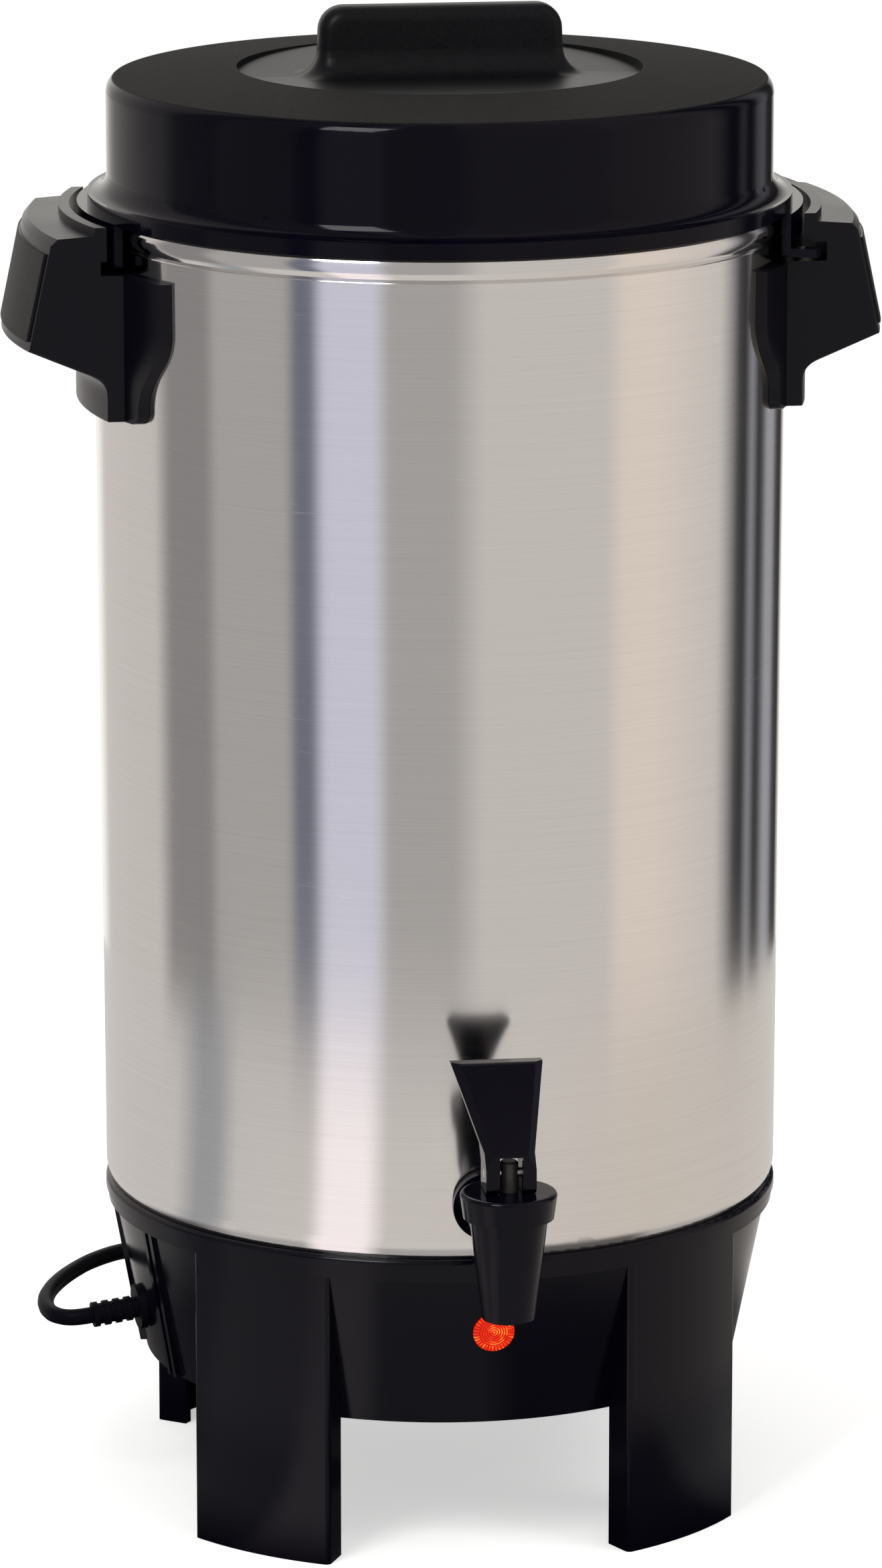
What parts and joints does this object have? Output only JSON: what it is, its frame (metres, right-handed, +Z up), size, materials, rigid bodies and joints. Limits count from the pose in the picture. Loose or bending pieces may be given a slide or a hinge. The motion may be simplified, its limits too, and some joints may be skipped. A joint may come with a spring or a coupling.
{
  "type": "coffee urn",
  "caption": "Tall percolating coffee urn: metal tank on a legged black base, locking lid with a bar handle, side handles, lever tap, indicator light and cord.",
  "frame": {"origin": "on the floor, on the tank's axis, in the middle of the circle that the four feet stand on", "axes": "+Z up; the tap faces -Y; the carrying handles are on +X and -X"},
  "size_m": [0.2298, 0.3006, 0.398],
  "materials": {
    "tank": "vertically brushed, semi-bright",
    "base": "black moulded, satin gloss",
    "bottom_plate": "plain sheet",
    "screws": "zinc plated",
    "nuts": "zinc plated",
    "heat_spreader": "mill finish",
    "heating_element": "heat-darkened sheath",
    "heater_clamp": "zinc plated strip",
    "thermostat": "phenolic body",
    "thermal_cutoff": "ceramic sleeve",
    "indicator_lens": "translucent orange-red, ringed",
    "lens_retainer": "white nylon ring",
    "indicator_lamp": "neon lamp in its holder",
    "strain_relief": "ribbed",
    "cord": "satin jacket",
    "plug": "satin moulded",
    "plug_blades": "bright",
    "handles": "satin with a textured grip face",
    "tap": "black gloss",
    "tap_washer": "soft seal",
    "tap_nut": "moulded",
    "tap_lever": "black gloss",
    "lever_pin": "plain pin",
    "valve_stem": "grey moulded",
    "seat_cup": "translucent silicone",
    "valve_spring": "stainless wire",
    "pump": "bright drawn tube",
    "basket": "bright spun",
    "basket_cover": "bright spun",
    "lid_liner": "bright spun",
    "liner_stud": "plain stud",
    "lid": "gloss sides, finely textured top, satin recess"
  },
  "bodies": {
    "urn": {"tank": "tank", "base": "base", "bottom_plate": "bottom_plate", "bottom_screws": "screws", "base_nuts": "nuts", "heat_spreader": "heat_spreader", "heating_element": "heating_element", "heater_clamp": "heater_clamp", "clamp_nut": "nuts", "thermostat": "thermostat", "thermal_cutoff": "thermal_cutoff", "indicator_lens": "indicator_lens", "lens_retainer": "lens_retainer", "indicator_lamp": "indicator_lamp", "strain_relief": "strain_relief", "power_cord": "cord", "cord_coil": "cord", "plug_lead": "cord", "plug": "plug", "plug_blades": "plug_blades", "handle_left": "handles", "handle_right": "handles", "handle_screws": "screws", "tap_body": "tap", "tap_bonnet": "tap", "tap_washer": "tap_washer", "tap_inner_washer": "tap_washer", "tap_nut": "tap_nut"},
    "pump": {"pump_tube": "pump", "pump_bell": "pump", "basket_stop": "pump"},
    "basket": {"basket": "basket"},
    "basket_cover": {"basket_cover": "basket_cover"},
    "lid_liner": {"lid_liner": "lid_liner", "liner_stud": "liner_stud"},
    "lid": {"lid": "lid"},
    "valve": {"valve_stem": "valve_stem", "seat_cup": "seat_cup", "valve_spring": "valve_spring"},
    "lever": {"tap_lever": "tap_lever", "lever_pin": "lever_pin"}
  },
  "joints": [
    {"name": "pump_lift", "type": "slide", "parent": "urn", "child": "pump", "axis": [0, 0, 1], "range_m": [0, 0.28]},
    {"name": "basket_lift", "type": "slide", "parent": "pump", "child": "basket", "axis": [0, 0, 1], "range_m": [0, 0.12]},
    {"name": "cover_lift", "type": "slide", "parent": "basket", "child": "basket_cover", "axis": [0, 0, 1], "range_m": [0, 0.06]},
    {"name": "lid_lift", "type": "slide", "parent": "basket_cover", "child": "lid_liner", "axis": [0, 0, 1], "range_m": [0, 0.15]},
    {"name": "lid_turn", "type": "hinge", "parent": "lid_liner", "child": "lid", "pos_m": [0, 0, 0.35], "axis": [0, 0, 1], "range_deg": [0, 9]},
    {"name": "valve_lift", "type": "slide", "parent": "urn", "child": "valve", "axis": [0, 0, 1], "range_m": [0, 0.0033], "deforming": ["valve_spring"]},
    {"name": "lever_pull", "type": "hinge", "parent": "valve", "child": "lever", "pos_m": [0, -0.13295, 0.12033], "axis": [1, 0, 0], "range_deg": [0, 55], "stiffness_Nm_per_rad": 0.08, "springref_deg": -5.73}
  ],
  "couplings": [
    {"joint": "valve_lift", "follows": "lever_pull", "m_per_rad": 0.003334}
  ]
}
